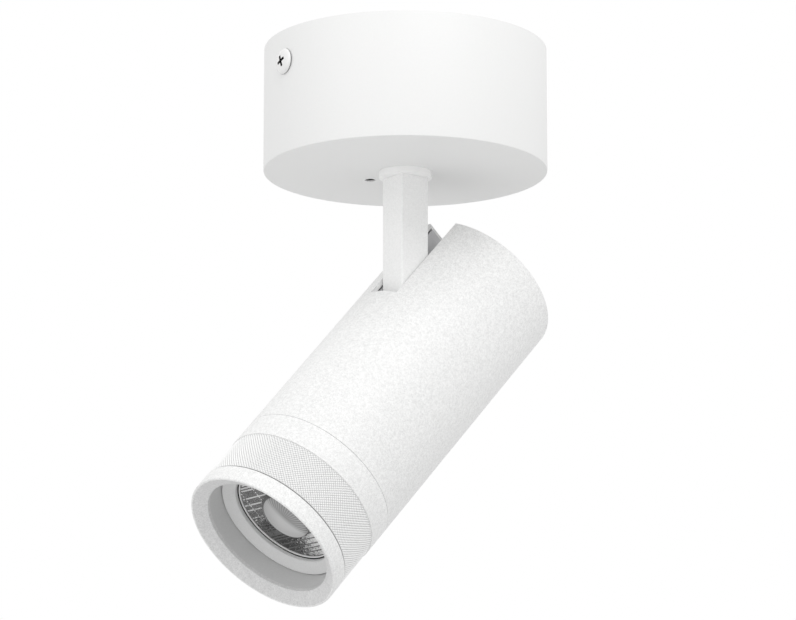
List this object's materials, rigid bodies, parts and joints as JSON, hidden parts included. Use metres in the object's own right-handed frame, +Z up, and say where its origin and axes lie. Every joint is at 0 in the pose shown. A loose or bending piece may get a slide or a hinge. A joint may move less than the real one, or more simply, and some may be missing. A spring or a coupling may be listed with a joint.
{
  "type": "surface mounted ceiling spotlight",
  "caption": "Round ceiling canopy with a swivelling square arm and a slotted cylindrical spotlight head that tilts and has a knurled focus ring.",
  "frame": {"origin": "centre of the canopy's ceiling plane, on the swivel axis", "axes": "+Z up, out of the ceiling plane; the arm hangs down along -Z; at rest the head tilts in the YZ plane, its front towards -Y and down; +X along the tilt pin"},
  "size_m": [0.1, 0.1361, 0.2008],
  "materials": {
    "white_coat": "fine-grained white powder coat on sheet steel",
    "white_alloy": "fine-grained white powder coat on turned aluminium",
    "white_nylon": "smooth white nylon",
    "zinc_steel": "zinc-plated steel",
    "cast_metal": "bare die-cast aluminium",
    "bare_metal": "bare machined aluminium",
    "bronze": "sintered bronze",
    "white_plastic": "white moulded plastic",
    "dark_plastic": "dark moulded plastic",
    "board_green": "green circuit board",
    "board_white": "white-masked aluminium circuit board",
    "phosphor": "yellow light-emitting face",
    "grey_pad": "soft grey heat-transfer pad",
    "black_rubber": "black rubber",
    "lens_clear": "clear moulded optic"
  },
  "bodies": {
    "canopy": {"canopy_cup": "white_coat", "ceiling_bracket": "zinc_steel", "canopy_side_screws": "white_coat", "cable_grommet": "black_rubber", "earth_screw": "zinc_steel", "earth_clamp": "zinc_steel", "swivel_bush": "white_nylon", "stop_screw": "zinc_steel", "driver_case": "white_plastic", "cup_studs": "zinc_steel", "stud_nuts": "zinc_steel", "driver_board": "board_green", "driver_parts": "dark_plastic", "driver_lid": "white_plastic", "terminal_block": "white_plastic", "terminal_screws": "zinc_steel"},
    "arm": {"stem": "white_alloy", "pivot_bush": "bronze", "stem_nipple": "zinc_steel", "slip_washer": "white_nylon", "stop_plate": "zinc_steel", "wave_washer": "zinc_steel", "lock_nut": "zinc_steel"},
    "head": {"head_shell": "white_alloy", "pivot_block": "cast_metal", "pivot_pin": "zinc_steel", "friction_shims": "white_nylon", "heat_sink": "bare_metal", "heat_sink_screws": "zinc_steel", "thermal_pad": "grey_pad", "led_board": "board_white", "led_chip": "phosphor", "led_holder": "white_plastic", "led_screws": "zinc_steel", "guide_sleeve": "white_alloy", "sleeve_screws": "zinc_steel", "drag_ring": "black_rubber", "front_bezel": "white_alloy"},
    "turning_ring": {"focus_ring": "white_alloy"},
    "lens_slider": {"lens_carrier": "white_alloy", "guide_pins": "zinc_steel", "lens_gasket": "black_rubber", "lens": "lens_clear", "lens_retainer": "dark_plastic"}
  },
  "joints": [
    {"name": "pan", "type": "hinge", "parent": "canopy", "child": "arm", "pos_m": [0, 0, -0.0445], "axis": [0, 0, 1], "range_deg": [-170, 170]},
    {"name": "tilt", "type": "hinge", "parent": "arm", "child": "head", "pos_m": [0, 0, -0.0891], "axis": [1, 0, 0], "range_deg": [-47.6, 42.4]},
    {"name": "focus_turn", "type": "hinge", "parent": "head", "child": "turning_ring", "pos_m": [-0.0064, -0.04187, -0.16598], "axis": [0, -0.6743, -0.7385], "range_deg": [-40, 80]},
    {"name": "lens_slide", "type": "slide", "parent": "head", "child": "lens_slider", "axis": [0, -0.6743, -0.7385], "range_m": [-0.00801, 0.00401]}
  ],
  "couplings": [
    {"joint": "lens_slide", "follows": "focus_turn", "m_per_rad": -0.0057296}
  ]
}
